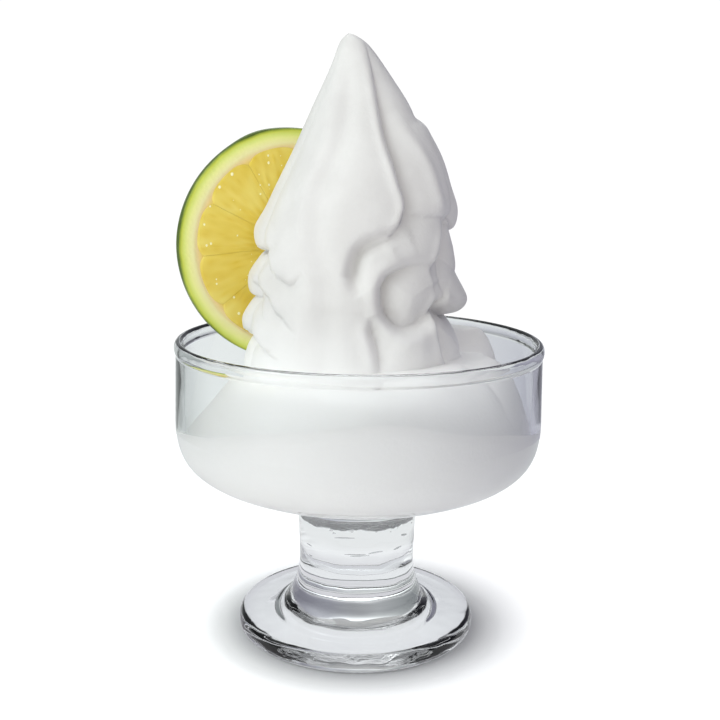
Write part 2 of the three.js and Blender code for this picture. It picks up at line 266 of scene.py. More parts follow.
@dataclass(frozen=True)
class WhiteSorbet:
    """Frozen sorbet: white, finely grained and faintly translucent, painted much whiter low down as painted light,
    and grey at the filling's bottom as painted shade.
    """

    light: Colour = (0.72, 0.708, 0.688)
    shade: Colour = (0.685, 0.672, 0.652)
    # Painted light: this whiter colour on the filling and the swirl's foot makes up for light lost through the glass
    # and in shade.
    pressed: Colour = (0.98, 0.975, 0.96)
    # Painted shade: the filling's bottom above the stem is painted grey.
    painted_shade_bottom: Colour = (0.66, 0.67, 0.68)
    filling_height: float = 92.0
    grain_scale: float = 900.0
    lump_scale: float = 120.0

    def material(self) -> bpy.types.Material:
        """Build the sorbet."""
        recipe = Recipe.material("white_sorbet")
        place = recipe.add("TexCoord").outputs["Object"]
        lumps = recipe.add("TexNoise", {"Vector": place, "Scale": self.lump_scale, "Detail": 3.0})
        grain = recipe.add("TexNoise", {"Vector": place, "Scale": self.grain_scale, "Detail": 2.0})
        surface = recipe.ramp(lumps.outputs[0], [(0.35, self.shade), (0.65, self.light)])
        height = recipe.add("SeparateXYZ", {0: place}).outputs[2]
        level = recipe.math("DIVIDE", height, self.filling_height * MM)
        # Painted light: 1 below 73 mm, where the whiter colour is used, fading back to the grained colour by 92 mm.
        filling = recipe.ramp(level, [(0.79, (1.0, 1.0, 1.0)), (1.0, (0.0, 0.0, 0.0))])
        # Painted shade: grey below 41 mm. From 45 mm up, the whiter colour of the painted light.
        pressed = recipe.ramp(level, [(0.447, self.painted_shade_bottom), (0.487, self.pressed)])
        colour = recipe.add("MixRGB", {0: filling, 1: surface, 2: pressed}).outputs[0]
        grains = recipe.math("ADD", recipe.math("MULTIPLY", lumps.outputs[0], 0.6), grain.outputs[0])
        bump = recipe.add("Bump", {"Height": grains, "Strength": 0.12, "Distance": 0.0006})
        return recipe.close(
            recipe.add(
                "BsdfPrincipled",
                {
                    "Base Color": colour,
                    "Roughness": 0.5,
                    "Specular IOR Level": 0.3,
                    "Subsurface Weight": 0.15,
                    "Subsurface Radius": (1.0, 1.0, 1.05),
                    "Subsurface Scale": 0.0012,
                    "Normal": bump.outputs[0],
                },
            )
        )


@dataclass(frozen=True)
class Citrus:
    """The finishes of the lime: juicy flesh, and rind that pales inwards to the pith."""

    wheel: WheelPlace

    def local_place(self, recipe: Recipe) -> bpy.types.NodeSocket:
        """Return Object coordinates centred on the wheel and turned to lie in its plane."""
        place = recipe.add("TexCoord").outputs["Object"]
        mapping = recipe.add("Mapping", {"Vector": place}, vector_type="TEXTURE")
        mapping.inputs["Location"].default_value = [size * MM for size in self.wheel.middle]
        mapping.inputs["Rotation"].default_value = (0.0, 0.0, self.wheel.turn)
        return mapping.outputs[0]

    def polar(self, recipe: Recipe) -> tuple[bpy.types.NodeSocket, bpy.types.NodeSocket]:
        """Return the distance from the wheel's axis in metres, and the angle round it in radians."""
        split = recipe.add("SeparateXYZ", {0: self.local_place(recipe)})
        squares = [recipe.math("MULTIPLY", split.outputs[i], split.outputs[i]) for i in (0, 2)]
        distance = recipe.math("SQRT", recipe.math("ADD", *squares))
        return distance, recipe.math("ARCTAN2", split.outputs[2], split.outputs[0])

    def flesh(self) -> bpy.types.Material:
        """Build the flesh, streaked outwards from the core by its juice sacs."""
        recipe = Recipe.material("lime_flesh")
        distance, angle = self.polar(recipe)
        place = self.local_place(recipe)
        along = recipe.math("MULTIPLY", distance, 260.0)
        round_it = recipe.math("MULTIPLY", angle, 13.0)
        sacs_at = recipe.add("CombineXYZ", {0: along, 1: round_it})
        sacs = recipe.add("TexVoronoi", {"Vector": sacs_at.outputs[0], "Scale": 1.0}, feature="SMOOTH_F1")
        patches = recipe.add("TexNoise", {"Vector": place, "Scale": 90.0, "Detail": 2.0})
        mix = recipe.math("ADD", recipe.math("MULTIPLY", sacs.outputs["Distance"], 0.45), patches.outputs[0])
        stops = [
            (0.45, srgb(226, 194, 62)),
            (0.7, srgb(234, 206, 84)),
            (0.95, srgb(240, 218, 110)),
        ]
        colour = recipe.ramp(mix, stops)
        bump = recipe.add(
            "Bump", {"Height": sacs.outputs["Distance"], "Strength": 0.25, "Distance": 0.0006}, invert=True
        )
        return recipe.close(
            recipe.add(
                "BsdfPrincipled",
                {
                    "Base Color": colour,
                    "Roughness": 0.28,
                    "Subsurface Weight": 0.25,
                    "Subsurface Radius": (1.0, 0.8, 0.25),
                    "Subsurface Scale": 0.002,
                    "Coat Weight": 0.35,
                    "Coat Roughness": 0.12,
                    "Normal": bump.outputs[0],
                },
            )
        )

    def rind(self) -> bpy.types.Material:
        """Build the rind and pith, coloured by the distance from the wheel's axis."""
        recipe = Recipe.material("lime_rind")
        distance, _ = self.polar(recipe)
        place = self.local_place(recipe)
        blotch = recipe.add("TexNoise", {"Vector": place, "Scale": 160.0, "Detail": 3.0})
        share = recipe.math("DIVIDE", distance, self.wheel.radius * MM)
        drift = recipe.math("MULTIPLY", recipe.math("SUBTRACT", blotch.outputs[0], 0.5), 0.02)
        stops = [
            (0.80, srgb(234, 206, 96)),
            (0.835, srgb(238, 212, 150)),
            (0.875, srgb(240, 234, 176)),
            (0.925, srgb(234, 236, 150)),
            (0.955, srgb(216, 226, 118)),
            (0.975, srgb(202, 210, 80)),
            (0.99, srgb(146, 162, 42)),
            (1.0, srgb(74, 94, 22)),
        ]
        colour = recipe.ramp(recipe.math("ADD", share, drift), stops)
        pores = recipe.add("TexVoronoi", {"Vector": place, "Scale": 900.0})
        bump = recipe.add("Bump", {"Height": pores.outputs["Distance"], "Strength": 0.15, "Distance": 0.0004})
        return recipe.close(
            recipe.add(
                "BsdfPrincipled",
                {
                    "Base Color": colour,
                    "Roughness": 0.4,
                    "Subsurface Weight": 0.15,
                    "Subsurface Radius": (0.8, 1.0, 0.3),
                    "Subsurface Scale": 0.0015,
                    "Normal": bump.outputs[0],
                },
            )
        )


@dataclass(frozen=True)
class DewPaintedGlint:
    """Droplets of juice and water, painted opaque pale cream as painted glints of light."""

    def material(self) -> bpy.types.Material:
        """Build the droplets."""
        recipe = Recipe.material("dew_painted_glint")
        # Painted highlight: an opaque pale cream stands in for the glints of light on clear droplets.
        inputs = {"Base Color": (0.98, 0.93, 0.55, 1.0), "Roughness": 0.1, "IOR": 1.33}
        return recipe.close(recipe.add("BsdfPrincipled", inputs))


# ------------------------------------------------------------------- the glass


@dataclass
class GlassCup:
    """The footed cup: foot, stem and bowl with its beaded rim, turned as one piece of glass."""

    rim_height: float = 81.0
    rim_radius: float = 47.96
    bead_width: float = 2.3
    bead_height: float = 3.8
    wall_outer_top: float = 48.7
    wall_outer: float = 49.12
    wall_inner: float = 46.75
    wall_foot_height: float = 59.5
    bowl_floor: float = 39.8
    bowl_floor_radius: float = 20.0
    neck: Point2 = (19.5, 37.4)
    stem: Point2 = (15.8, 20.0)
    stem_top: float = 31.0
    foot_radius: float = 32.6
    foot_thickness: float = 5.2
    flare: Point2 = (20.2, 6.9)
    rest_inner: float = 22.4
    rest_outer: float = 30.6
    kick_height: float = 2.6
    bowl_starts: float = 37.0
    bowl_ends: float = 76.8
    seam_height: float = 31.9
    seam_radius: float = 14.9
    seam_thickness: float = 0.3
    bubbles: int = 110
    streaks: int = 9
    sides: int = 192

    def bowl_side(self, steps: int) -> list[Point2]:
        """Return the hollow's rounded corner, from the floor's edge up to the foot of the wall."""
        edge = (self.bowl_floor_radius, self.bowl_floor + 1.8)
        top = (self.wall_inner, self.wall_foot_height)
        return [edge, *bend(edge, (40.5, 46.2), (self.wall_inner, 46.5), top, steps)]

    def bowl_bottom(self, steps: int) -> list[Point2]:
        """Return the hollow's floor, from the axis out to its edge."""
        r, z = self.bowl_floor_radius, self.bowl_floor
        return [(0.0, z), *bend((0.0, z), (r * 0.35, z), (r * 0.7, z + 0.46), (r, z + 1.8), steps)]

    def bead(self, steps: int) -> list[Point2]:
        """Return the rim's bead, from its outside below round the top to its inside."""
        start, end = math.radians(-55), math.radians(200)
        middle = self.rim_height - self.bead_height / 2
        angles = [start + (end - start) * i / steps for i in range(steps + 1)]
        return [
            (
                self.rim_radius + self.bead_width / 2 * math.cos(angle),
                middle + self.bead_height / 2 * math.sin(angle),
            )
            for angle in angles
        ]

    def profile(self) -> list[Point2]:
        """Return the whole outline, from the axis under the foot round to the axis of the hollow."""
        foot_edge = (self.foot_radius, self.foot_thickness * 0.42)
        foot_top = (self.rest_outer, self.foot_thickness)
        rest = (self.rest_outer, 0.0)
        stem_top = (self.stem[0] + 0.4, self.stem_top)
        wall_foot = (self.wall_outer, self.wall_foot_height)
        kick_edge = (self.rest_inner - 3.0, self.kick_height * 0.85)
        return [
            (0.0, self.kick_height),
            *bend((0.0, self.kick_height), (8.0, self.kick_height), (14.0, 2.4), kick_edge, 6),
            *bend(kick_edge, (21.0, 1.9), (21.4, 0.3), (self.rest_inner, 0.0), 6),
            rest,
            *bend(rest, (32.0, 0.0), (self.foot_radius, 0.8), foot_edge, 8),
            *bend(foot_edge, (self.foot_radius, 3.9), (31.9, 5.1), foot_top, 8),
            *bend(foot_top, (26.0, 5.7), (22.5, 6.0), self.flare, 10),
            *bend(self.flare, (18.6, 8.2), (self.stem[0], 13.0), self.stem, 14),
            stem_top,
            *bend(stem_top, (16.3, 35.0), (17.0, 36.6), self.neck, 8),
            *bend(self.neck, (41.28, 44.26), (self.wall_outer, 44.81), wall_foot, 26),
            (self.wall_outer_top, self.rim_height - self.bead_height),
            *self.bead(22),
            *reversed(self.bowl_side(24)),
            *reversed(self.bowl_bottom(8)[:-1]),
        ]

    def build(self, foot_glass: bpy.types.Material, bowl_glass: bpy.types.Material) -> bpy.types.Object:
        """Turn the outline into the cup.

        Args:
            foot_glass: The finish of the foot and the stem.
            bowl_glass: The finish of the bowl, whose thin wall bends light less.

        Returns:
            The cup's piece.
        """
        bm = bmesh.new()
        verts = [bm.verts.new((radius, 0.0, height)) for radius, height in self.profile()]
        edges = [bm.edges.new(pair) for pair in zip(verts, verts[1:])]
        bmesh.ops.spin(
            bm, geom=verts + edges, cent=(0, 0, 0), axis=(0, 0, 1), angle=TURN, steps=self.sides, use_merge=True
        )
        close_grid(bm, 1e-4)
        for face in bm.faces:
            face.material_index = int(self.bowl_starts < face.calc_center_median().z < self.bowl_ends)
        self.add_air(bm)
        return finish_mesh(bm, "cup_glass", [foot_glass, bowl_glass])

    def wavy(self, old: np.ndarray) -> np.ndarray:
        """Return the seam's places, with its sheet of air made uneven."""
        x, y = old[:, 0], old[:, 1]
        angle = np.arctan2(y, x)
        wide = 1 + 0.05 * np.sin(5 * angle + 1.0) + 0.04 * np.sin(13 * angle)
        rise = 0.28 * np.sin(0.50 * x + 1.0) * np.cos(0.43 * y) + 0.12 * np.sin(2.4 * x + 0.9 * y)
        rise = rise + 0.12 * np.sin(3.1 * y - 0.7 * x) * np.cos(1.9 * x + 1.3 * y)
        return np.stack([x * wide, y * wide, old[:, 2] + rise], axis=1)

    def add_air(self, bm: bmesh.types.BMesh) -> None:
        """Leave air in the stem: a thin sheet where the bowl was joined on, and bubbles and streaks below it.

        Args:
            bm: The cup's mesh. The air's skins are added to it, and face inwards.
        """
        air = bmesh.new()
        half = self.seam_thickness / 2
        rim = (self.seam_radius, self.seam_height)
        outline = [(0.0, self.seam_height + half)]
        outline += [(self.seam_radius * i / 48, self.seam_height + half) for i in range(1, 48)]
        outline += [rim] + [(reach, 2 * self.seam_height - height) for reach, height in reversed(outline)]
        verts = [air.verts.new((radius, 0.0, height)) for radius, height in outline]
        edges = [air.edges.new(pair) for pair in zip(verts, verts[1:])]
        bmesh.ops.spin(
            air, geom=verts + edges, cent=(0, 0, 0), axis=(0, 0, 1), angle=TURN, steps=160, use_merge=True
        )
        close_grid(air, 1e-4)
        place_vertices(air, self.wavy)
        rng = np.random.default_rng(5)
        for i in range(self.bubbles + self.streaks):
            bubble = i < self.bubbles
            angle = rng.uniform(0, TURN)
            reach = self.seam_radius * (rng.uniform(0.5, 0.98) if bubble else rng.uniform(0.3, 0.8))
            below = rng.uniform(-0.5, 1.4) if bubble else rng.uniform(6.0, 12.0)
            size = rng.uniform(0.12, 0.34) if bubble else rng.uniform(0.8, 2.2)
            made = bmesh.ops.create_icosphere(air, subdivisions=2, radius=size)
            stretch = (1.5, 1.0, 0.7, 1.0) if bubble else (1.0, 0.25, 0.09, 1.0)
            shape = (
                Matrix.Rotation(angle, 4, "Z")
                @ Matrix.Translation((0.0, reach, self.seam_height - below))
                @ Matrix.Diagonal(stretch)
            )
            bmesh.ops.transform(air, matrix=shape, verts=made["verts"])
        bmesh.ops.reverse_faces(air, faces=air.faces[:])
        mesh = bpy.data.meshes.new("air")
        air.to_mesh(mesh)
        air.free()
        bm.from_mesh(mesh)
        bpy.data.meshes.remove(mesh)


# ------------------------------------------------------------------ the sorbet


class Side(Enum):
    """Which side of a fold's path lies lower, seen along the path."""

    LEFT = 1.0
    RIGHT = -1.0


@dataclass(frozen=True)
class Stroke:
    """A smooth path over the swirl, as bearings in degrees and heights, with depths spaced along it."""

    path: tuple[Point2, ...]
    depth: tuple[float, ...]

    def curve(self, steps: int = 7) -> np.ndarray:
        """Return the path as a smooth curve through its points, with that many steps a stretch."""
        knots = np.array([self.path[0], *self.path, self.path[-1]], float)
        pieces = []
        for a, b, c, d in zip(knots, knots[1:], knots[2:], knots[3:]):
            t = np.linspace(0, 1, steps, endpoint=False)[:, None]
            pieces.append(
                0.5 * (2 * b + (c - a) * t + (2 * a - 5 * b + 4 * c - d) * t**2 + (3 * b - a - 3 * c + d) * t**3)
            )
        return np.vstack([*pieces, knots[-1:]])

    def trace(self, bearing: np.ndarray, height: np.ndarray, radius: np.ndarray) -> tuple[np.ndarray, ...]:
        """Measure the surface's points from the path.

        Args:
            bearing: Bearings of the points, in degrees.
            height: Their heights.
            radius: Their distances from the swirl's middle.

        Returns:
            Each point's distance from the path, its side of it (1 on the left, -1 on the right), and the
            stroke's depth at the nearest place of the path.
        """
        curve = self.curve()
        count = len(curve) - 1
        nearest = np.full(bearing.shape, 1e9)
        side = np.zeros(bearing.shape)
        along = np.zeros(bearing.shape)
        for i, (start, end) in enumerate(zip(curve, curve[1:])):
            step_x = math.radians(end[0] - start[0]) * radius
            step_z = end[1] - start[1]
            off_x = np.radians((bearing - start[0] + 180) % 360 - 180) * radius
            off_z = height - start[1]
            share = np.clip((off_x * step_x + off_z * step_z) / (step_x**2 + step_z**2 + 1e-9), 0, 1)
            gap_x, gap_z = off_x - share * step_x, off_z - share * step_z
            gap = np.hypot(gap_x, gap_z)
            closer = gap < nearest
            nearest = np.where(closer, gap, nearest)
            side = np.where(closer, np.sign(step_x * off_z - step_z * off_x), side)
            along = np.where(closer, (i + share) / count, along)
        return nearest, side, np.interp(along, np.linspace(0, 1, len(self.depth)), self.depth)


@dataclass(frozen=True)
class Fold(Stroke):
    """A crease: one side stands over it, and the other comes up gently.

    The depth is that of the crease itself, the lip is how quickly the upper side rounds off into it, and
    the reach how far the lower side stays lower.
    """

    reach: float = 4.0
    lip: float = 0.9
    low: Side = Side.RIGHT
    bulge: float = 0.2

    def relief(self, bearing: np.ndarray, height: np.ndarray, radius: np.ndarray) -> np.ndarray:
        """Return how far the fold moves the surface's points out, negative inwards."""
        nearest, side, depth = self.trace(bearing, height, radius)
        lower = side * self.low.value > 0
        under = np.exp(-((nearest / self.reach) ** 1.2))
        over = np.exp(-nearest / self.lip)
        swell = self.bulge * hump(nearest - 3.2 * self.lip, 2.0 * self.lip)
        return depth * np.where(lower, -under, swell - over)


@dataclass(frozen=True)
class Groove(Stroke):
    """A soft hollow along the path, as deep on both sides of it; a negative depth makes a ridge."""

    width: float = 2.0

    def relief(self, bearing: np.ndarray, height: np.ndarray, radius: np.ndarray) -> np.ndarray:
        """Return how far the groove moves the surface's points out, negative inwards."""
        nearest, _, depth = self.trace(bearing, height, radius)
        return -depth * hump(nearest, self.width)


# The swirl's folds and soft hollows that the view shows, apart from its plain lobes and courses.
MAIN_CREASE = Fold(
    path=(
        (62, 157.6), (55, 157.0), (35, 153.6), (26.8, 149.3), (21.3, 144.8), (17.5, 139.9), (15.5, 135.0),
        (16.5, 130.7), (19.4, 126.7), (22.3, 122.7), (25.6, 119.2), (26.3, 116.1), (24.5, 113.3),
        (20.3, 110.8), (15.3, 109.3),
    ),
    depth=(0.0, 1.0, 1.5, 2.0, 2.4, 2.7, 3.0, 3.3, 3.6, 3.9, 4.1, 4.0, 3.4, 2.0, 0.2),
    reach=4.6,
    lip=0.6,
    low=Side.LEFT,
)
HOOK = Groove(
    path=(
        (23.0, 112.2), (20.3, 111.0), (15.3, 109.7), (10.9, 108.6), (5.7, 107.7), (1.2, 106.1),
        (-0.7, 103.7), (-1.3, 100.9), (0.1, 98.5), (3.5, 96.6),
    ),
    depth=(0.0, 1.1, 2.1, 2.9, 3.4, 3.8, 3.8, 3.2, 1.6, 0.0),
    width=1.8,
)
RIGHT_HEM = Fold(
    path=((22, 113.6), (27, 115.2), (35, 114.7), (44, 114.3), (54, 114.2), (64, 113.0)),
    depth=(0.0, 0.6, 1.0, 1.1, 1.2, 0.8),
    reach=4.5,
    lip=1.1,
)
RIGHT_NICK = Fold(
    path=((64, 115.0), (59, 112.4), (56.5, 109.7), (53.4, 107.3), (49.7, 104.5), (45.8, 102.4), (41.0, 101.8)),
    depth=(0.0, 1.2, 1.8, 2.4, 2.6, 2.0, 0.0),
    reach=5.5,
    lip=0.7,
    low=Side.LEFT,
)
SCOOP = Fold(
    path=(
        (46.0, 103.2), (40.6, 103.3), (32.5, 103.0), (26.4, 102.3), (20.8, 101.3), (16.1, 100.0), (13.8, 98.0),
        (14.0, 95.6), (15.6, 92.4), (20.0, 89.6), (26.0, 87.9), (32.5, 88.2), (39.0, 89.9), (44.4, 91.9),
        (47.6, 93.1),
    ),
    depth=(0.0, 0.7, 1.6, 2.4, 3.2, 3.9, 4.4, 4.4, 4.0, 3.6, 3.2, 3.0, 3.0, 2.8, 2.0),
    reach=3.5,
    lip=0.9,
    low=Side.LEFT,
)
RIGHT_RECESS = Fold(
    path=(
        (98, 88.6), (84, 90.0), (66, 90.8), (54, 91.6), (49, 92.5), (47, 91.2), (47.3, 88.5), (48.5, 85.0),
        (51.0, 82.0), (54.4, 79.5), (57.0, 77.0),
    ),
    depth=(2.2, 3.0, 4.2, 4.8, 4.8, 4.8, 4.6, 4.2, 3.6, 2.6, 1.0),
    reach=5.2,
    lip=0.8,
    low=Side.LEFT,
)
BASE_CREASE = Fold(
    path=((7.6, 91.2), (8.8, 89.5), (9.5, 87.3), (11.2, 84.9), (12.7, 82.2), (13.3, 79.7), (13.3, 76.6)),
    depth=(0.0, 1.4, 2.4, 2.6, 2.4, 1.8, 0.5),
    reach=3.2,
    lip=0.7,
    low=Side.LEFT,
)
BASE_WALL = Groove(
    path=((20.0, 85.0), (26.0, 83.6), (34.0, 83.0), (42.0, 83.4)),
    depth=(-0.4, -1.3, -1.6, -1.0),
    width=4.4,
)
UPPER_STEP = Fold(
    path=((118, 138.8), (100, 138.6), (80, 138.2), (57, 137.3), (41, 136.2)),
    depth=(0.4, 1.2, 1.3, 0.6, 0.0),
    reach=3.4,
    lip=0.7,
    low=Side.RIGHT,
)
RIGHT_CREST = Groove(
    path=((28, 139.0), (33, 135.6), (41, 130.4), (46.6, 124.4), (50.3, 118.3), (52.3, 115.8)),
    depth=(0.0, -0.6, -0.9, -1.0, -0.9, -0.4),
    width=2.2,
)
FACE_EDGE = Groove(
    path=(
        (-46.4, 152.8), (-36.6, 147.2), (-33.6, 142.2), (-32.4, 136.1), (-34.0, 131.3), (-36.7, 126.4),
        (-38.1, 120.9), (-35.6, 115.7), (-32.2, 109.8), (-32.4, 105.7), (-30.0, 101.0), (-25.3, 96.8),
        (-25.1, 90.8), (-26.8, 84.6), (-29.9, 78.3),
    ),
    depth=(0.0, -0.3, -0.4, -0.4, -0.5, -0.5, -0.5, -0.5, -0.5, -0.4, -0.4, -0.4, -0.4, -0.4, -0.3),
    width=3.0,
)
FRONT_TROUGH = Groove(
    path=(
        (-33, 155.0), (-29, 152.7), (-21.3, 147.2), (-19.6, 141.0), (-19.7, 134.9), (-22.5, 128.9),
        (-26.0, 122.9), (-25.0, 116.0), (-21.0, 108.0), (-15.0, 98.0), (-12.0, 88.0), (-12.0, 78.0),
    ),
    depth=(0.0, 0.8, 1.1, 1.1, 0.9, 0.8, 0.7, 0.6, 0.5, 0.5, 0.5, 0.4),
    width=3.0,
)
FLAP_NOTCH = Groove(
    path=((-80, 104.6), (-67, 105.2), (-56, 105.6), (-48, 106.4)),
    depth=(2.0, 1.6, 0.8, 0.0),
    width=1.0,
)
FLAP_HIGH = Fold(
    path=((-66, 104.4), (-57.9, 102.9), (-52.6, 99.9), (-43.1, 98.1), (-35.2, 97.7), (-28.0, 101.2)),
    depth=(0.0, 1.6, 2.0, 2.0, 1.6, 0.0),
    reach=3.4,
    lip=0.8,
)
FLAP_MIDDLE = Fold(
    path=((-68, 96.0), (-57, 94.0), (-50.9, 92.7), (-46.5, 90.7), (-39.4, 89.2), (-33.7, 87.5), (-27, 86.0)),
    depth=(1.6, 2.0, 2.2, 2.2, 1.6, 1.0, 0.0),
    reach=3.2,
    lip=0.8,
)
FLAP_LOW = Fold(
    path=((-86, 83.6), (-76, 82.9), (-63.2, 82.2), (-53.7, 80.4), (-44.3, 79.2), (-36, 79.0)),
    depth=(1.6, 2.0, 2.0, 1.4, 0.8, 0.0),
    reach=2.8,
    lip=0.8,
)
STROKES = (
    MAIN_CREASE,
    HOOK,
    RIGHT_HEM,
    RIGHT_NICK,
    SCOOP,
    RIGHT_RECESS,
    BASE_CREASE,
    BASE_WALL,
    UPPER_STEP,
    RIGHT_CREST,
    FACE_EDGE,
    FRONT_TROUGH,
    FLAP_NOTCH,
    FLAP_HIGH,
    FLAP_MIDDLE,
    FLAP_LOW,
)


@dataclass(frozen=True)
class Valley:
    """A groove between two lobes of the swirl, from its foot towards the tip."""

    at: tuple[float, float, float, float]
    depth: tuple[float, float, float, float, float]
    left: float = 0.16
    right: float = 0.16


@dataclass(frozen=True)
class Hem:
    """The wavy line where a course of the swirl hangs over the next one below.

    The heights and hangs are given at each valley and at the middle of the lobe on its right, in turn.
    """

    height: tuple[float, ...]
    hang: tuple[float, ...]


@dataclass
class Sorbet:
    """The filling, its mound and the piped swirl, as one closed skin."""

    cup: GlassCup
    wheel: WheelPlace
    into_glass: float = 0.15
    tip_x: float = -4.2
    tip_height: float = 159.3
    bell_radius: float = 30.2
    bell_reach: float = 38.0
    bell_fullness: float = 1.15
    columns_per_lobe: int = 42
    rows: tuple[int, ...] = (6, 16, 34, 26, 34, 34, 88)
    bearing_heights: tuple[float, ...] = (82, 100, 116, 155)
    depth_heights: tuple[float, ...] = (80, 92, 104, 118, 150)
    valleys: tuple[Valley, ...] = (
        Valley((-28, -27, -22, -8), (0.0, 0.0, 0.0, 0.0, 0.0), 0.22, 0.3),
        Valley((10, 1, 32, 15), (0.0, 0.0, 0.0, 0.0, 0.0), 0.05, 0.34),
        Valley((56, 50, 70, 86), (0.6, 0.3, 1.4, 1.6, 1.0), 0.2, 0.26),
        Valley((98, 100, 108, 125), (1.2, 2.0, 5.4, 3.6, 1.0), 0.42, 0.3),
        Valley((141, 143, 148, 162), (2.4, 2.6, 2.6, 2.6, 1.0)),
        Valley((188, 190, 195, 208), (2.4, 2.6, 2.6, 2.6, 1.0)),
        Valley((238, 240, 244, 255), (2.2, 2.4, 2.4, 2.4, 1.0)),
        Valley((290, 292, 294, 300), (1.6, 1.8, 1.8, 0.8, 0.3), 0.2, 0.2),
    )
    hems: tuple[Hem, ...] = (
        Hem(
            (101.5, 99.4, 107, 115.2, 114, 110.6, 109.5, 106.5, 108, 104, 106.5, 103.5, 106.5, 105.2, 104.5, 98.4),
            (0.0, 0.0, 0.0, 0.0, 1.2, 2.8, 2.4, 3.0, 2.2, 3.0, 2.2, 3.0, 2.4, 3.6, 1.8, 0.4),
        ),
        Hem(
            (90.5, 89.5, 94, 101.8, 104, 100, 99, 95, 96.5, 93, 95, 92.5, 94.5, 92.9, 93, 87.6),
            (0.0, 0.0, 0.0, 0.0, 0.6, 0.7, 1.5, 2.8, 2.2, 2.8, 2.2, 2.8, 2.2, 3.0, 1.8, 0.4),
        ),
        Hem(
            (83.5, 83, 85.5, 88.4, 91, 89, 89, 86, 87, 83.5, 85.5, 83, 84.5, 81.6, 83.5, 80.4),
            (0.0, 0.0, 0.0, 0.0, 1.0, 3.8, 2.5, 2.5, 2.0, 2.4, 2.0, 2.4, 1.8, 2.4, 1.6, 0.4),
        ),
    )
    hem_lip: float = 1.5
    hem_recess: float = 4.2
    strokes: tuple[Stroke, ...] = STROKES
    press_hold: float = 75.0
    press_rise: float = 9.0
    press_fade: float = 13.0
    press_into: float = 0.1

    def envelope(self, depth: np.ndarray) -> np.ndarray:
        """Return the swirl's radius without its relief, at depths below the tip."""
        depth = np.maximum(depth, 0.0)
        bell = self.bell_radius * np.tanh((depth / self.bell_reach) ** self.bell_fullness)
        return bell + 3.4 * (1 - np.exp(-depth / 1.6)) * np.exp(-depth / 16.0)

    def middle_x(self, depth: np.ndarray) -> np.ndarray:
        """Return where the swirl's middle lies along X, at depths below the tip."""
        tip = -3.0 * np.exp(-depth / 6.0)
        return -0.6 + tip + 2.2 * hump(depth - 30, 14.0) - 1.2 * smooth((depth - 55) / 20)

    def round_the_swirl(self, values: tuple[float, ...], column: np.ndarray) -> np.ndarray:
        """Return a value given twice a lobe, smooth between."""
        table = np.array(values, float)
        place = column * 2
        low = np.floor(place).astype(int)
        share = smooth(place - low)
        return table[low % len(table)] * (1 - share) + table[(low + 1) % len(table)] * share

    def bearing_of(self, column: np.ndarray, height: np.ndarray) -> np.ndarray:
        """Return the bearings in degrees of columns that run up in step with the valleys."""
        count = len(self.valleys)
        low = np.floor(column).astype(int)
        found = np.zeros(column.shape)
        for i in range(count):
            here = low == i
            left = np.interp(height[here], self.bearing_heights, self.valleys[i].at)
            right = np.interp(height[here], self.bearing_heights, self.valleys[(i + 1) % count].at)
            right = right + (360 if i + 1 == count else 0)
            found[here] = left + (right - left) * (column[here] - i)
        return found

    def valley_depth(self, column: np.ndarray, height: np.ndarray) -> np.ndarray:
        """Return how deep the valleys on both sides cut at each point."""
        count = len(self.valleys)
        low = np.floor(column).astype(int)
        found = np.zeros(column.shape)
        for i in range(count):
            here = low == i
            share = column[here] - i
            left, right = self.valleys[i], self.valleys[(i + 1) % count]
            found[here] = np.interp(height[here], self.depth_heights, left.depth) * np.exp(-share / left.right)
            found[here] += np.interp(height[here], self.depth_heights, right.depth) * np.exp(
                -(1 - share) / right.left
            )
        return found

    def swirl(self, column: np.ndarray, height: np.ndarray) -> np.ndarray:
        """Return the places of points on the swirl.

        Args:
            column: How far round each point is, in lobes from the front left valley.
            height: Its height before the hems make it droop.

        Returns:
            An array with a row of X, Y and Z for each point.
        """
        depth = self.tip_height - height
        radius = self.envelope(depth)
        bearing = self.bearing_of(column, height)
        fade = np.minimum(1, radius / 14)
        reach = radius.copy()
        radius = radius - self.valley_depth(column, height) * fade
        sink = np.zeros(height.shape)
        for hem in self.hems:
            above = height - self.round_the_swirl(hem.height, column)
            hang = self.round_the_swirl(hem.hang, column)
            dip = np.exp(np.where(above > 0, -above / self.hem_lip, above / self.hem_recess))
            radius = radius - hang * (dip - 0.45 * hump(above - 4.5, 4.0))
            sink = sink + 0.5 * hang * hump(above - 1.8, 2.2)
        for stroke in self.strokes:
            radius = radius + fade * stroke.relief(bearing, height, np.maximum(reach, 3.0))
        angle = np.radians(bearing)
        x = self.middle_x(depth) + radius * np.sin(angle)
        return self.pressed(np.stack([x, -radius * np.cos(angle), height - sink], axis=1))

    def pressed(self, places: np.ndarray) -> np.ndarray:
        """Return places pushed to the front of the wheel of lime, which stands pressed into the swirl."""
        turn, half = self.wheel.turn, self.wheel.thickness / 2
        back = np.array([-math.sin(turn), math.cos(turn), 0.0])
        across = np.array([math.cos(turn), math.sin(turn), 0.0])
        away = places - np.array(self.wheel.middle)
        behind = np.maximum(away @ back + half - self.press_into, 0.0)
        beyond = np.hypot(away @ across, away[:, 2]) - self.wheel.radius
        press = smooth(1.1 - beyond / self.press_fade) * smooth((places[:, 2] - self.press_hold) / self.press_rise)
        return places - (behind * press)[:, None] * back

    def contact_height(self, angle: np.ndarray) -> np.ndarray:
        """Return how high the sorbet reaches on the glass, at bearings in radians."""
        level = 60.3 + 3.8 * np.cos(angle) + 4.2 * np.cos(2 * angle) + 0.8 * np.sin(angle)
        return level + 0.5 * np.sin(5 * angle + 1.0) + 0.35 * np.sin(9 * angle)

    def shoulder(self, angle: np.ndarray) -> np.ndarray:
        """Return how much of the rear right shoulder there is at bearings in radians, from 0 to 1."""
        degrees = np.degrees(angle) % 360
        return smooth((degrees - 108) / 8) * smooth((190 - degrees) / 30)

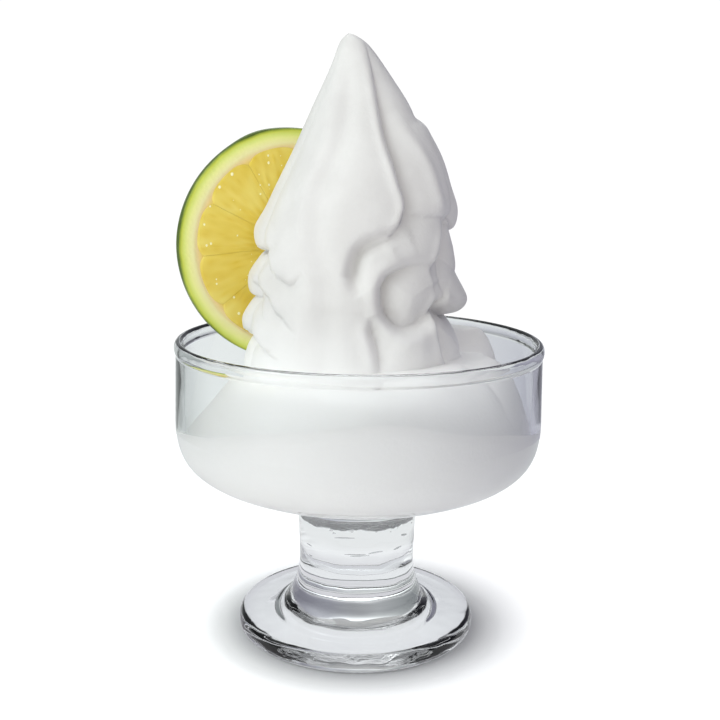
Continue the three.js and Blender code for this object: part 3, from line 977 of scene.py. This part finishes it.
    def foot_height(self, angle: np.ndarray) -> np.ndarray:
        """Return where the mound meets the swirl, at bearings in radians."""
        return 74.5 + 2.4 * np.cos(angle) + 2.2 * np.sin(angle) + 6.6 * self.shoulder(angle)

    def on_bowl(self, share: np.ndarray, angle: np.ndarray, line: list[Point2]) -> np.ndarray:
        """Return points just inside the glass, at shares along a line of its hollow."""
        steps = np.linspace(0, 1, len(line))
        radius = np.interp(share, steps, [p[0] for p in line]) + self.into_glass * smooth(share * 50)
        height = np.interp(share, steps, [p[1] for p in line]) - self.into_glass
        return np.stack([radius * np.sin(angle), -radius * np.cos(angle), height], axis=1)

    def wall_line(self) -> list[Point2]:
        """Return the hollow's side up to the rim, its heights rising all the way."""
        side = self.cup.bowl_side(40)
        wall = [(self.cup.wall_inner, self.cup.wall_foot_height + step) for step in range(1, 20)]
        return side + wall

    def place(self, old: np.ndarray) -> np.ndarray:
        """Wrap the flat grid round the cup's axis as the sorbet's skin.

        Args:
            old: The grid's vertices, from -0.5 to 0.5 in X and Y.

        Returns:
            Their places on the skin.
        """
        count = len(self.valleys)
        total = sum(self.rows)
        column = np.clip((old[:, 0] + 0.5) * count, 0, count)
        column = np.where(column > count - 1e-6, 0.0, column)
        row = (old[:, 1] + 0.5) * total
        first = self.bearing_of(column, np.full(column.shape, 74.5))
        feet_height = self.foot_height(np.radians(first))
        feet = self.swirl(column, feet_height)
        angle = np.arctan2(feet[:, 0], -feet[:, 1])
        levels = [
            feet_height,
            self.round_the_swirl(self.hems[2].height, column),
            self.round_the_swirl(self.hems[1].height, column),
            self.round_the_swirl(self.hems[0].height, column),
            np.full(column.shape, self.tip_height),
        ]
        starts = np.cumsum([0, *self.rows])
        line = self.wall_line()
        heights = np.array([p[1] for p in line])
        contact = self.contact_height(angle)
        top_share = np.interp(contact, heights, np.linspace(0, 1, len(line)))
        places = np.zeros((len(column), 3))
        for part, (low, steps) in enumerate(zip(starts, self.rows)):
            last = part == len(self.rows) - 1
            here = (row >= low - 1e-6) & ((row < low + steps - 1e-6) | last)
            share = np.clip((row[here] - low) / steps, 0, 1)
            if part == 0:
                places[here] = self.on_bowl(share, angle[here], self.cup.bowl_bottom(8))
            elif part == 1:
                places[here] = self.on_bowl(top_share[here] * share, angle[here], line)
            elif part == 2:
                start = self.on_bowl(top_share[here], angle[here], line)
                places[here] = self.mound(start, feet[here], share, angle[here])
            else:
                low_level, high_level = levels[part - 3][here], levels[part - 2][here]
                risen = 1 - (1 - share) ** 1.35 if last else share
                height = low_level + (high_level - low_level) * risen
                places[here] = self.swirl(column[here], height)
        tip = row > total - 1e-6
        places[tip] = (self.tip_x, 0.0, self.tip_height)
        return places

    def mound(self, start: np.ndarray, foot: np.ndarray, share: np.ndarray, angle: np.ndarray) -> np.ndarray:
        """Return points of the mound between the glass and the swirl.

        Args:
            start: Where each column leaves the glass.
            foot: Where it meets the swirl.
            share: How far in each point is, from 0 to 1.
            angle: The column's bearing in radians.

        Returns:
            The points' places.
        """
        roundness = 2.2 + 1.1 * np.sin(angle) + 2.4 * self.shoulder(angle)
        rise = 1 - (1 - share) ** roundness
        places = start + (foot - start) * share[:, None]
        places[:, 2] = start[:, 2] + (foot[:, 2] - start[:, 2]) * rise
        swell = np.sin(np.pi * share)
        lumps = np.sin(3 * angle + 5.0 * share + 0.6) * 0.5 + np.sin(7 * angle - 4.0 * share) * 0.35
        lumps = lumps + np.sin(12 * angle + 7.0 * share + 1.0) * 0.3 * np.sin(2 * angle - 3.0 * share)
        places[:, 2] += swell * lumps
        return places

    def build(self, finish: bpy.types.Material) -> bpy.types.Object:
        """Wrap a fine grid into the sorbet's skin."""
        bm = bmesh.new()
        bmesh.ops.create_grid(
            bm,
            x_segments=len(self.valleys) * self.columns_per_lobe,
            y_segments=sum(self.rows),
            size=0.5,
        )
        place_vertices(bm, self.place)
        close_grid(bm, 1e-4)
        return finish_mesh(bm, "sorbet_swirl", [finish])


# -------------------------------------------------------------------- the lime


@dataclass
class LimeWheel:
    """The wheel of lime: a disc of rind and pith, with a pad of flesh for each segment on both faces."""

    wheel: WheelPlace
    segments: int = 11
    first_segment: float = math.radians(21.6)
    flesh_radius: float = 27.1
    core_radius: float = 1.4
    membrane: float = -0.02
    recess: float = 0.4
    droplets: int = 150
    bulges: tuple[tuple[float, float, float], ...] = ((111.0, 0.85, 15.0), (177.0, 0.6, 18.0))

    def bulge(self, old: np.ndarray) -> np.ndarray:
        """Return the disc's places with the fruit's outline swollen, most at the front face."""
        reach = np.hypot(old[:, 0], old[:, 2])
        angle = np.degrees(np.arctan2(old[:, 2], old[:, 0])) % 360
        swell = sum(height * hump(angle - at, width) for at, height, width in self.bulges)
        grown = 1 + swell * (0.45 - old[:, 1] / self.wheel.thickness) * smooth((reach - 27.5) / 3) / self.wheel.radius
        return old * np.stack([grown, np.ones(len(old)), grown], axis=1)

    def build_disc(self, finish: bpy.types.Material) -> bpy.types.Object:
        """Turn the disc of rind and pith, hollowed a little where the flesh lies."""
        half = self.wheel.thickness / 2
        radius = self.wheel.radius
        bed = half - self.recess
        face = [(0.0, bed), *bend((0.0, bed), (8.0, bed), (18.0, bed), (self.flesh_radius - 1.0, bed), 10)]
        face += bend(face[-1], (self.flesh_radius, bed), (self.flesh_radius, half), (self.flesh_radius + 1, half), 6)
        face += [(self.flesh_radius + 2.5, half), (radius - 1.1, half)]
        face += bend(face[-1], (radius - 0.3, half), (radius, half - 0.4), (radius, half - 1.2), 6)
        outline = face + [(reach, -depth) for reach, depth in reversed(face)]
        bm = bmesh.new()
        verts = [bm.verts.new((reach, depth, 0.0)) for reach, depth in outline]
        edges = [bm.edges.new(pair) for pair in zip(verts, verts[1:])]
        bmesh.ops.spin(
            bm, geom=verts + edges, cent=(0, 0, 0), axis=(0, 1, 0), angle=TURN, steps=160, use_merge=True
        )
        close_grid(bm, 1e-4)
        place_vertices(bm, self.bulge)
        bmesh.ops.transform(bm, matrix=self.wheel.matrix(), verts=bm.verts[:])
        return finish_mesh(bm, "lime_rind", [finish])

    def pad_places(self, old: np.ndarray, middle_angle: float, side: float) -> np.ndarray:
        """Shape a flat grid into one segment's pad of flesh.

        Args:
            old: The grid's vertices, from -0.5 to 0.5 in X and Y.
            middle_angle: The direction of the segment's middle, in radians.
            side: -1 for the front face and 1 for the back.

        Returns:
            The vertices' places in the wheel's own frame.
        """
        across = np.sin(old[:, 0] * math.pi)
        out = old[:, 1] + 0.5
        edge = np.maximum(np.abs(across), np.abs(out * 2 - 1))
        seam = 0.4 * np.abs(across) ** 30
        outer = self.flesh_radius - 1.9 * np.abs(across) ** 4
        inner = self.core_radius + 0.8 * np.abs(across) ** 2
        radius = inner + (outer - inner) * out
        half_angle = math.pi / self.segments - self.membrane / radius
        angle = middle_angle + across * half_angle
        rng = np.random.default_rng(int(abs(middle_angle) * 1000) + (7 if side > 0 else 0))
        phases = rng.uniform(0, TURN, 6)
        sacs = sum(
            np.sin(across * (7 + 4 * k) + phases[k] + (2.0 + k) * np.sin(out * (3 + k) + phases[k + 3]))
            for k in range(3)
        )
        dome = (1 - np.abs(out * 2 - 1) ** 10) * (1 - seam)
        half = self.wheel.thickness / 2
        top = half - self.recess + 0.36 * np.sqrt(dome) + 0.03 * sacs * dome
        depth = np.where(edge > 0.999, half - self.recess - 0.3, top)
        depth = np.minimum(depth, half)
        return np.stack([radius * np.cos(angle), side * depth, radius * np.sin(angle)], axis=1)

    def build_flesh(self, finish: bpy.types.Material) -> bpy.types.Object:
        """Lay a pad of flesh for each segment on both faces, all in one piece."""
        whole = bmesh.new()
        for side in (-1.0, 1.0):
            for i in range(self.segments):
                pad = bmesh.new()
                bmesh.ops.create_grid(pad, x_segments=28, y_segments=44, size=0.5)
                middle_angle = self.first_segment + (i + 0.5) * TURN / self.segments
                place_vertices(pad, lambda old: self.pad_places(old, middle_angle, side))
                bmesh.ops.holes_fill(pad, edges=[edge for edge in pad.edges if edge.is_boundary], sides=0)
                bmesh.ops.recalc_face_normals(pad, faces=pad.faces[:])
                mesh = bpy.data.meshes.new("pad")
                pad.to_mesh(mesh)
                pad.free()
                whole.from_mesh(mesh)
                bpy.data.meshes.remove(mesh)
        bmesh.ops.transform(whole, matrix=self.wheel.matrix(), verts=whole.verts[:])
        return finish_mesh(whole, "lime_flesh", [finish])

    def build_dew(self, finish: bpy.types.Material) -> bpy.types.Object:
        """Scatter small domes of juice over both faces."""
        rng = np.random.default_rng(11)
        bm = bmesh.new()
        for i in range(self.droplets):
            reach = self.flesh_radius * math.sqrt(rng.uniform(0.02, 0.98))
            angle = rng.uniform(0, TURN)
            side = -1 if i % 3 else 1
            size = 0.26 + 0.2 * rng.uniform() ** 2
            depth = side * (self.wheel.thickness / 2 - 0.12)
            place = Vector((reach * math.cos(angle), depth, reach * math.sin(angle)))
            made = bmesh.ops.create_icosphere(bm, subdivisions=2, radius=size)
            shape = Matrix.Translation(place) @ Matrix.Diagonal((1.0, 0.3, 1.15, 1.0))
            bmesh.ops.transform(bm, matrix=shape, verts=made["verts"])
        bmesh.ops.transform(bm, matrix=self.wheel.matrix(), verts=bm.verts[:])
        return finish_mesh(bm, "lime_dew", [finish])


# ------------------------------------------------------------------ the studio


@dataclass(frozen=True)
class Lamp:
    """A soft square lamp that looks at the cup."""

    name: str
    place: tuple[float, float, float]
    size: float
    watts: float
    colour: Colour = (1.0, 1.0, 1.0)

    def build(self) -> bpy.types.Object:
        """Hang the lamp."""
        light = bpy.data.lights.new(self.name, "AREA")
        light.energy = self.watts
        light.size = self.size
        light.color = self.colour
        lamp = bpy.data.objects.new(self.name, light)
        bpy.context.scene.collection.objects.link(lamp)
        lamp.location = self.place
        aim = Vector((0, 0, 0.08)) - Vector(self.place)
        lamp.rotation_euler = aim.to_track_quat("-Z", "Y").to_euler()
        return lamp


@dataclass
class Studio:
    """A white table under soft light, and the camera at the photograph's angle."""

    focal_pixels: float = 1025.1
    camera_distance: float = 0.2711
    camera_height: float = 0.129
    pitch: float = math.radians(11.31)
    roll: float = math.radians(0.805)
    yaw: float = math.radians(0.049)
    floor_reach: float = 0.21
    floor_drop: float = 0.2
    key_way: tuple[float, float, float] = (-0.62, -0.42, 0.66)
    fill_way: tuple[float, float, float] = (0.55, -0.25, 0.80)
    camera_way: tuple[float, float, float] = (0.0, -0.97, 0.24)
    glint_way: tuple[float, float, float] = (0.02, 0.28, 0.96)
    lamps: tuple[Lamp, ...] = (Lamp("key", (-0.42, -0.30, 0.55), 0.25, 0.45, (0.97, 1.0, 1.0)),)

    def build_camera(self) -> bpy.types.Object:
        """Set the camera where the photograph was taken from."""
        lens = bpy.data.cameras.new("camera")
        lens.sensor_width = SENSOR
        lens.lens = SENSOR * self.focal_pixels / IMAGE_SIDE
        lens.clip_start = 0.01
        camera = bpy.data.objects.new("camera", lens)
        bpy.context.scene.collection.objects.link(camera)
        ahead = Vector(
            (
                math.sin(self.yaw) * math.cos(self.pitch),
                math.cos(self.yaw) * math.cos(self.pitch),
                -math.sin(self.pitch),
            )
        )
        right = Vector((math.cos(self.yaw), -math.sin(self.yaw), 0.0))
        up = right.cross(ahead)
        turned_right = math.cos(self.roll) * right + math.sin(self.roll) * up
        turned_up = -math.sin(self.roll) * right + math.cos(self.roll) * up
        axes = Matrix((turned_right, turned_up, -ahead)).transposed().to_4x4()
        camera.matrix_world = Matrix.Translation((0, -self.camera_distance, self.camera_height)) @ axes
        bpy.context.scene.camera = camera
        return camera

    def through_glass(self, recipe: Recipe) -> bpy.types.NodeSocket:
        """Return 1 for light seen in or through glass alone, and 0 for light that falls on other things."""
        light = recipe.add("LightPath").outputs
        glassy = recipe.math("MAXIMUM", light["Is Glossy Ray"], light["Is Transmission Ray"])
        return recipe.math("MULTIPLY", glassy, recipe.math("LESS_THAN", light["Diffuse Depth"], 0.5))

    def build_floor(self) -> bpy.types.Object:
        """Lay the round white table with a painted contact shadow round the foot, which throws more light up at the
        front than behind the cup.
        """
        recipe = Recipe.material("table_white")
        where = recipe.add("TexCoord").outputs["Object"]
        place = recipe.add("SeparateXYZ", {0: where})
        away = recipe.add("VectorMath", {0: where}, operation="LENGTH").outputs["Value"]
        outwards = recipe.math("DIVIDE", away, self.floor_reach)
        # Painted light: the table glows more with distance from the cup, so that the shadow round the foot stays
        # close.
        painted_glow_outwards = [
            (0.155, (0.0, 0.0, 0.0)), (0.19, (0.13, 0.13, 0.13)), (0.22, (0.34, 0.34, 0.34)),
            (0.25, (0.50, 0.50, 0.50)), (0.30, (0.62, 0.62, 0.62)), (0.7, (0.6, 0.6, 0.6)),
        ]
        # Painted shadow: the table's colour is darker round the foot as a contact shadow.
        painted_contact_shadow = [(0.158, (0.62, 0.62, 0.63)), (0.175, (0.80, 0.80, 0.80)), (0.20, (0.98, 0.98, 0.98))]
        cloth = recipe.add("BsdfDiffuse", {"Color": recipe.ramp(outwards, painted_contact_shadow)})
        painted_glow = recipe.add("Emission", {"Color": recipe.ramp(outwards, painted_glow_outwards), "Strength": 1.0})
        seen = recipe.add("AddShader", {0: cloth.outputs[0], 1: painted_glow.outputs[0]})
        forward = recipe.math("MULTIPLY", place.outputs[1], 0.5 / self.floor_reach)
        sideways = recipe.math("MULTIPLY", place.outputs[0], 0.5 / self.floor_reach)
        along = [
            (0.0, (1.0, 1.0, 1.0)), (0.36, (0.88, 0.88, 0.88)), (0.43, (0.60, 0.60, 0.60)),
            (0.5, (0.50, 0.50, 0.50)), (0.7, (0.46, 0.46, 0.46)),
        ]
        across = [(0.0, (1.0, 1.0, 1.0)), (0.5, (0.94, 0.94, 0.94)), (0.66, (0.60, 0.60, 0.65)), (1.0, (0.4, 0.4, 0.48))]
        thrown = recipe.add(
            "MixRGB",
            {
                0: 1.0,
                1: recipe.ramp(recipe.math("ADD", forward, 0.5), along),
                2: recipe.ramp(recipe.math("ADD", sideways, 0.5), across),
            },
            blend_type="MULTIPLY",
        )
        glow = recipe.add("Emission", {"Color": thrown.outputs[0], "Strength": 1.65})
        # Painted light and shade: seen through the glass, the table is a glow of set tone, darkest in a ring at the
        # foot's edge as painted shadow.
        painted_shade_through_glass = [
            (0.0, (0.84, 0.86, 0.88)), (0.13, (0.80, 0.82, 0.85)), (0.150, (0.70, 0.71, 0.75)),
            (0.158, (0.66, 0.66, 0.70)), (0.19, (0.72, 0.73, 0.76)), (0.26, (0.88, 0.90, 0.92)),
            (0.34, (0.80, 0.82, 0.83)), (0.7, (0.74, 0.77, 0.78)),
        ]
        glassed = recipe.add("Emission", {"Color": recipe.ramp(outwards, painted_shade_through_glass), "Strength": 1.0})
        lit = recipe.add("MixShader", {0: self.through_glass(recipe), 1: glow.outputs[0], 2: glassed.outputs[0]})
        camera = recipe.add("LightPath").outputs["Is Camera Ray"]
        material = recipe.close(recipe.add("MixShader", {0: camera, 1: lit.outputs[0], 2: seen.outputs[0]}))
        bm = bmesh.new()
        bmesh.ops.create_circle(bm, cap_ends=True, segments=96, radius=self.floor_reach / MM)
        bmesh.ops.translate(bm, vec=(0.0, 0.0, -self.floor_drop), verts=bm.verts[:])
        floor = finish_mesh(bm, "table", [material])
        return floor

    def lobe(
        self,
        recipe: Recipe,
        way: bpy.types.NodeSocket,
        aim: tuple[float, float, float],
        narrowness: float,
        strength: float,
    ) -> bpy.types.NodeSocket:
        """Return a soft patch of strength round a direction of the world.

        Args:
            recipe: The world's nodes.
            way: The direction looked at.
            aim: The middle of the patch.
            narrowness: How fast it fades, as a power of the cosine.
            strength: The strength in its middle.

        Returns:
            The strength in the direction looked at.
        """
        middle = Vector(aim).normalized()
        facing = recipe.add("VectorMath", {0: way, 1: middle}, operation="DOT_PRODUCT").outputs["Value"]
        patch = recipe.math("POWER", recipe.math("MAXIMUM", facing, 0.0), narrowness)
        return recipe.math("MULTIPLY", patch, strength)

    def build_world(self) -> None:
        """Make the surrounding light: white to the camera, and shaded by direction to everything else."""
        world = bpy.data.worlds.new("studio")
        bpy.context.scene.world = world
        recipe = Recipe(world)
        way = recipe.add("TexCoord").outputs["Generated"]
        split = recipe.add("SeparateXYZ", {0: way})
        sideways = recipe.math("MULTIPLY", recipe.math("ADD", split.outputs[0], 1.0), 0.5)
        upwards = recipe.math("MULTIPLY", recipe.math("ADD", split.outputs[2], 1.0), 0.5)
        front_stops = [
            (0.0, (0.25, 0.26, 0.28)),
            (0.10, (0.93, 0.99, 1.0)),
            (0.28, (0.90, 0.94, 0.95)),
            (0.5, (0.49, 0.47, 0.445)),
            (0.75, (0.57, 0.56, 0.58)),
            (0.92, (0.27, 0.27, 0.33)),
            (1.0, (0.10, 0.10, 0.14)),
        ]
        glass_front_stops = [
            (0.0, (0.25, 0.26, 0.28)),
            (0.10, (0.96, 0.98, 1.0)),
            (0.30, (0.92, 0.93, 0.94)),
            (0.5, (0.80, 0.80, 0.81)),
            (0.75, (0.62, 0.62, 0.66)),
            (0.92, (0.40, 0.40, 0.46)),
            (1.0, (0.14, 0.14, 0.19)),
        ]
        back_stops = [
            (0.0, (0.15, 0.16, 0.17)),
            (0.12, (0.30, 0.33, 0.33)),
            (0.26, (0.45, 0.48, 0.48)),
            (0.4, (0.62, 0.65, 0.65)),
            (0.5, (0.55, 0.57, 0.58)),
            (0.62, (0.40, 0.41, 0.46)),
            (0.85, (0.30, 0.30, 0.36)),
            (1.0, (0.12, 0.12, 0.16)),
        ]
        up_stops = [
            (0.34, (1.75, 1.75, 1.75)),
            (0.48, (1.4, 1.4, 1.4)),
            (0.58, (1.1, 1.1, 1.1)),
            (0.8, (1.05, 1.05, 1.05)),
            (1.0, (1.15, 1.15, 1.15)),
        ]
        glass_up_stops = [
            (0.30, (1.25, 1.25, 1.25)),
            (0.48, (1.1, 1.1, 1.09)),
            (0.56, (0.62, 0.62, 0.64)),
            (0.72, (0.50, 0.50, 0.52)),
            (0.85, (0.80, 0.80, 0.81)),
            (1.0, (0.95, 0.95, 0.96)),
        ]
        backness = recipe.ramp(
            recipe.math("MULTIPLY", recipe.math("ADD", split.outputs[1], 1.0), 0.5),
            [(0.42, (0.0, 0.0, 0.0)), (0.72, (1.0, 1.0, 1.0))],
        )
        glassy = self.through_glass(recipe)
        views = []
        for front, up in ((front_stops, up_stops), (glass_front_stops, glass_up_stops)):
            sides = {0: backness, 1: recipe.ramp(sideways, front), 2: recipe.ramp(sideways, back_stops)}
            level = recipe.add("MixRGB", sides).outputs[0]
            shares = {0: 1.0, 1: level, 2: recipe.ramp(upwards, up)}
            views.append(recipe.add("MixRGB", shares, blend_type="MULTIPLY").outputs[0])
        around = recipe.add("MixRGB", {0: glassy, 1: views[0], 2: views[1]})
        key = self.lobe(recipe, way, self.key_way, 9.0, 1.0)
        fill = self.lobe(recipe, way, self.fill_way, 5.0, 0.15)
        glint = recipe.math("MULTIPLY", self.lobe(recipe, way, self.glint_way, 16.0, 6.0), glassy)
        hole = recipe.math("MULTIPLY", self.lobe(recipe, way, self.camera_way, 10.0, 0.9), glassy)
        lobes = recipe.math("ADD", recipe.math("ADD", key, fill), glint)
        glow = recipe.add("Background", {"Color": (0.94, 1.0, 1.0, 1.0), "Strength": lobes})
        strength = recipe.math("MULTIPLY", recipe.math("SUBTRACT", 1.0, hole), 1.15)
        shaded = recipe.add("Background", {"Color": around.outputs[0], "Strength": strength})
        lit = recipe.add("AddShader", {0: shaded.outputs[0], 1: glow.outputs[0]})
        white = recipe.add("Background", {"Color": (1.0, 1.0, 1.0, 1.0), "Strength": 1.05})
        seen = recipe.add("LightPath").outputs["Is Camera Ray"]
        recipe.close(recipe.add("MixShader", {0: seen, 1: lit.outputs[0], 2: white.outputs[0]}))

    def build(self) -> None:
        """Build the camera, the table, the lamps and the surrounding light."""
        self.build_camera()
        self.build_floor()
        self.build_world()
        for lamp in self.lamps:
            lamp.build()
        bpy.context.scene.view_settings.view_transform = "Standard"


# ------------------------------------------------------------------------ main


def dress(piece: bpy.types.Object, slot: str, *nodes: str) -> None:
    """Let a piece ride on the cup's body, and hide the imported solids that it stands for."""
    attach(piece, "root")
    if nodes:
        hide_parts(*nodes)
    LOG.info("%s: %d faces", piece.name, len(piece.data.polygons))


def main() -> None:
    """Build the studio and every piece, in order."""
    Studio().build()
    cup = GlassCup()
    wheel = WheelPlace()
    dress(cup.build(FOOT_GLASS.material(), BOWL_GLASS.material()), "clear_glass", "glass_cup")
    dress(Sorbet(cup, wheel).build(WhiteSorbet().material()), "white_sorbet", "sorbet")
    lime = LimeWheel(wheel)
    citrus = Citrus(wheel)
    dress(lime.build_disc(citrus.rind()), "lime", "lime_slice")
    dress(lime.build_flesh(citrus.flesh()), "lime")
    dress(lime.build_dew(DewPaintedGlint().material()), "lime")


if __name__ == "__main__":
    main()
